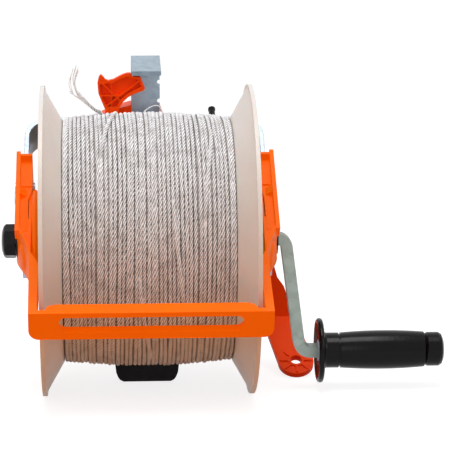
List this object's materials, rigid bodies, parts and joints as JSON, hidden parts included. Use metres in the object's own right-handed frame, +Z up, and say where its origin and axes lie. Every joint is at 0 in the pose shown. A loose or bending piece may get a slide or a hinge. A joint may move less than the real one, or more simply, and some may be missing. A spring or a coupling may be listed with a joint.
{
  "type": "electric fence reel",
  "caption": "Hand-cranked electric fence reel: a flanged drum of white twisted line in a steel bow with an orange carrying frame, hanging hook, sprung latch and black crank grip.",
  "frame": {"origin": "centre of the rubber foot's sole, on the surface the reel stands on", "axes": "+X along the axle towards the crank, +Y to the back where the hanger strap is, +Z up"},
  "size_m": [0.3735, 0.2833, 0.2735],
  "materials": {
    "orange_plastic": "moulded, satin",
    "natural_plastic": "moulded, translucent",
    "galvanised_steel": "galvanised",
    "black_plastic": "moulded, glossy",
    "black_rubber": "matt",
    "line": "twisted strands with fine metal wires",
    "brass": "turned",
    "friction_lining": "matt"
  },
  "bodies": {
    "frame": {"steel_bow": "galvanised_steel", "frame_moulding": "orange_plastic", "left_bush": "black_plastic", "right_bush": "black_plastic", "bow_rivets": "galvanised_steel", "hanger_strap": "galvanised_steel", "strap_bolts": "galvanised_steel", "saddle_front": "orange_plastic", "saddle_back": "orange_plastic", "rubber_foot": "black_rubber", "outrigger_leg": "orange_plastic", "leg_bolt": "galvanised_steel", "leg_nut": "galvanised_steel", "line_peg": "black_plastic", "latch_pin": "galvanised_steel", "latch_spring": "galvanised_steel"},
    "drum": {"left_drum_half": "natural_plastic", "right_drum_half": "natural_plastic", "drum_tie_bolts": "galvanised_steel", "line_core": "line", "line_winding": "line", "line_tail": "line", "axle": "galvanised_steel", "drive_hub": "black_plastic", "brake_disc": "orange_plastic", "hub_screws": "galvanised_steel", "friction_washer": "friction_lining", "crank_arm": "galvanised_steel", "grip_washer": "galvanised_steel", "grip_clip": "galvanised_steel"},
    "grip": {"grip_sleeve": "black_plastic", "grip_cap": "black_plastic"},
    "brake_knob": {"brake_knob": "black_plastic", "knob_insert": "brass"},
    "latch": {"latch_lever": "orange_plastic"}
  },
  "joints": [
    {"name": "drum_spin", "type": "hinge", "parent": "frame", "child": "drum", "pos_m": [0, -0.0395, 0.13], "axis": [1, 0, 0], "continuous": true},
    {"name": "grip_spin", "type": "hinge", "parent": "drum", "child": "grip", "pos_m": [0.19, -0.0395, 0.033], "axis": [1, 0, 0], "continuous": true},
    {"name": "brake_knob_turn", "type": "hinge", "parent": "drum", "child": "brake_knob", "pos_m": [-0.116, -0.0395, 0.13], "axis": [1, 0, 0], "range_deg": [-90, 180]},
    {"name": "latch_swing", "type": "hinge", "parent": "frame", "child": "latch", "pos_m": [-0.0295, 0.049, 0.2225], "axis": [0, 1, 0], "range_deg": [0, 30], "stiffness_Nm_per_rad": 0.05, "springref_deg": -17.19}
  ]
}
